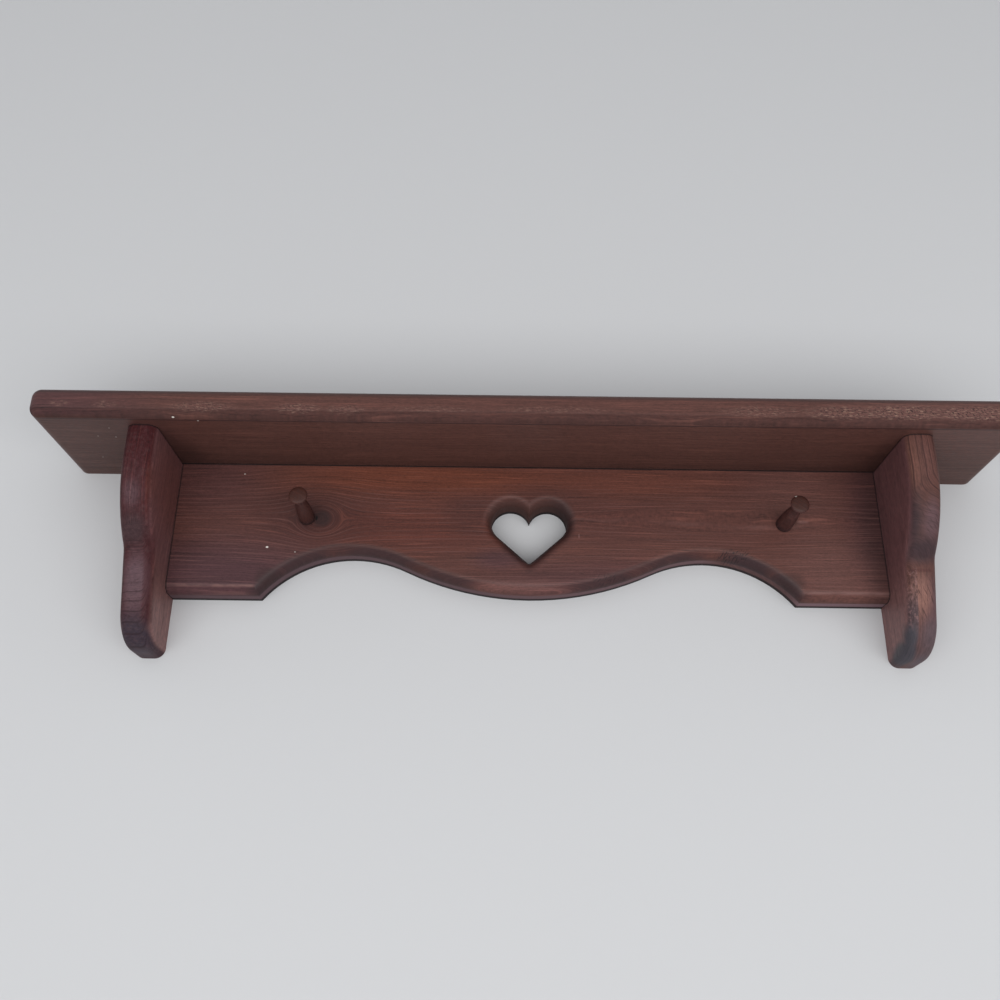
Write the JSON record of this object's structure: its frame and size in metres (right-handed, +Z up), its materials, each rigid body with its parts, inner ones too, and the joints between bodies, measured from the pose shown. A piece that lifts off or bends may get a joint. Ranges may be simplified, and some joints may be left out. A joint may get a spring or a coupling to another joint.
{
  "type": "wall shelf with pegs",
  "caption": "Wooden wall shelf on ogee brackets, with a scalloped back board that has a heart cut-out and turned pegs to hang things on.",
  "frame": {"origin": "on the wall plane, midway between the two wall screws that the shelf hangs on, at the tops of the keyhole slots", "axes": "+X to the right along the shelf as seen from the room, +Y into the wall, +Z up; the whole shelf is in front of the wall at negative Y"},
  "size_m": [0.6096, 0.0889, 0.147],
  "materials": {
    "shelf_wood": "red-brown satin stain on pine",
    "back_wood": "red-brown satin stain on pine",
    "bracket_wood": "red-brown satin stain on pine, grey-brown on the end grain",
    "peg_wood": "dark red-brown satin stain",
    "plug_wood": "red-brown satin stain, end grain",
    "screw_steel": "zinc-plated",
    "plate_steel": "zinc-plated"
  },
  "bodies": {
    "root": {"shelf_board": "shelf_wood", "back_board": "back_wood", "left_bracket": "bracket_wood", "right_bracket": "bracket_wood", "left_peg": "peg_wood", "right_peg": "peg_wood", "shelf_screw_left_front": "screw_steel", "shelf_plug_left_front": "plug_wood", "shelf_screw_left_rear": "screw_steel", "shelf_plug_left_rear": "plug_wood", "shelf_screw_right_front": "screw_steel", "shelf_plug_right_front": "plug_wood", "shelf_screw_right_rear": "screw_steel", "shelf_plug_right_rear": "plug_wood", "shelf_screw_back_left": "screw_steel", "shelf_plug_back_left": "plug_wood", "shelf_screw_back_right": "screw_steel", "shelf_plug_back_right": "plug_wood", "side_screw_left_upper": "screw_steel", "side_plug_left_upper": "plug_wood", "side_screw_left_lower": "screw_steel", "side_plug_left_lower": "plug_wood", "side_screw_right_upper": "screw_steel", "side_plug_right_upper": "plug_wood", "side_screw_right_lower": "screw_steel", "side_plug_right_lower": "plug_wood", "hanger_plate_left": "plate_steel", "hanger_screw_left_upper": "screw_steel", "hanger_screw_left_lower": "screw_steel", "hanger_plate_right": "plate_steel", "hanger_screw_right_upper": "screw_steel", "hanger_screw_right_lower": "screw_steel"}
  },
  "joints": []
}
